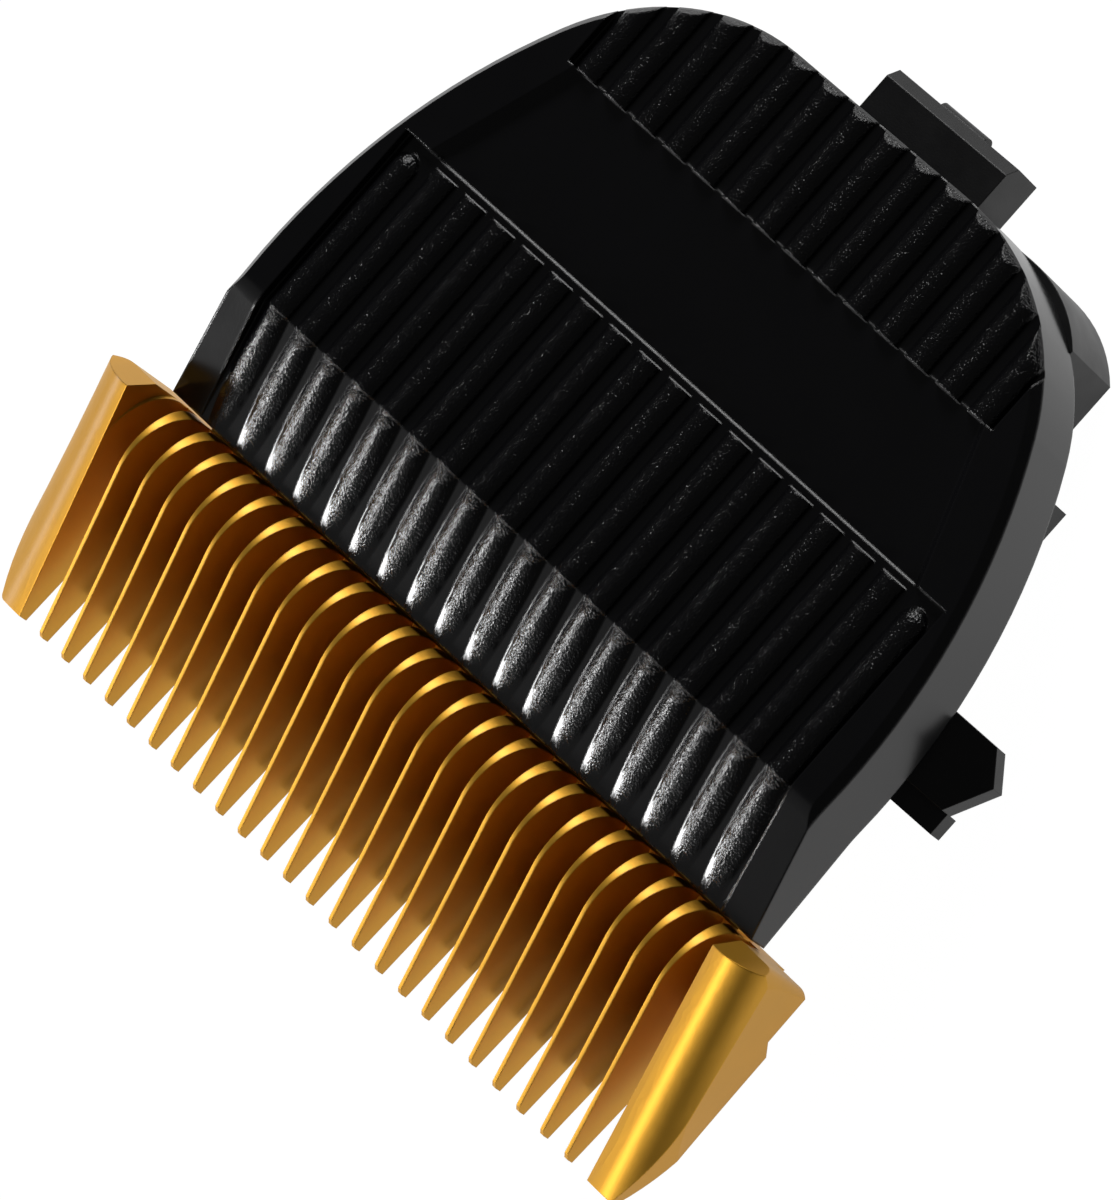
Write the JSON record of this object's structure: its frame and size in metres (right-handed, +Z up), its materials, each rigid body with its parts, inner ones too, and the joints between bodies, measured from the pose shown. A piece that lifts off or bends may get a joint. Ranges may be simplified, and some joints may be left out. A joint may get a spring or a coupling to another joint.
{
  "type": "hair clipper blade",
  "caption": "Clip-on cutting head for a hair clipper: gold comb with end guides, sliding cutter, ribbed black cover, frame with mounting hook and a cleaning lever.",
  "frame": {"origin": "middle of the footprint, on the surface that the frame's rails stand on", "axes": "+X along the row of teeth, towards the cleaning lever; +Y from the tooth tips to the mounting hook; +Z up, out of the ribbed cover"},
  "size_m": [0.0446, 0.0442, 0.009],
  "materials": {
    "cover_plastic": "fine-grained black moulding",
    "frame_plastic": "fine-grained black moulding",
    "lever_plastic": "fine-grained black moulding",
    "block_plastic": "black moulding",
    "gold_steel": "satin gold coating",
    "cutter_steel": "ground",
    "pin_steel": "drawn",
    "spring_steel": "drawn wire",
    "screw_steel": "plain"
  },
  "bodies": {
    "housing": {"cover": "cover_plastic", "frame": "frame_plastic", "fixed_blade": "gold_steel", "blade_screws": "screw_steel", "lever_pin": "pin_steel"},
    "lever": {"cleaning_lever": "lever_plastic"},
    "springs": {"spring_left": "spring_steel", "spring_right": "spring_steel"},
    "cutter": {"moving_blade": "cutter_steel", "drive_block": "block_plastic"}
  },
  "joints": [
    {"name": "lever_press", "type": "hinge", "parent": "housing", "child": "lever", "pos_m": [0.0135, 0.00115, 0.0032], "axis": [0, -1, 0], "range_deg": [0, 6]},
    {"name": "cutter_lift", "type": "hinge", "parent": "housing", "child": "springs", "pos_m": [0, 0.0075, 0.0029], "axis": [1, 0, 0], "range_deg": [0, 3.3], "stiffness_Nm_per_rad": 0.02, "springref_deg": -5.73},
    {"name": "cutter_stroke", "type": "slide", "parent": "springs", "child": "cutter", "axis": [1, 0, 0], "range_m": [-0.0014, 0.0014]}
  ],
  "couplings": [
    {"joint": "cutter_lift", "follows": "lever_press", "ratio": 0.55}
  ]
}
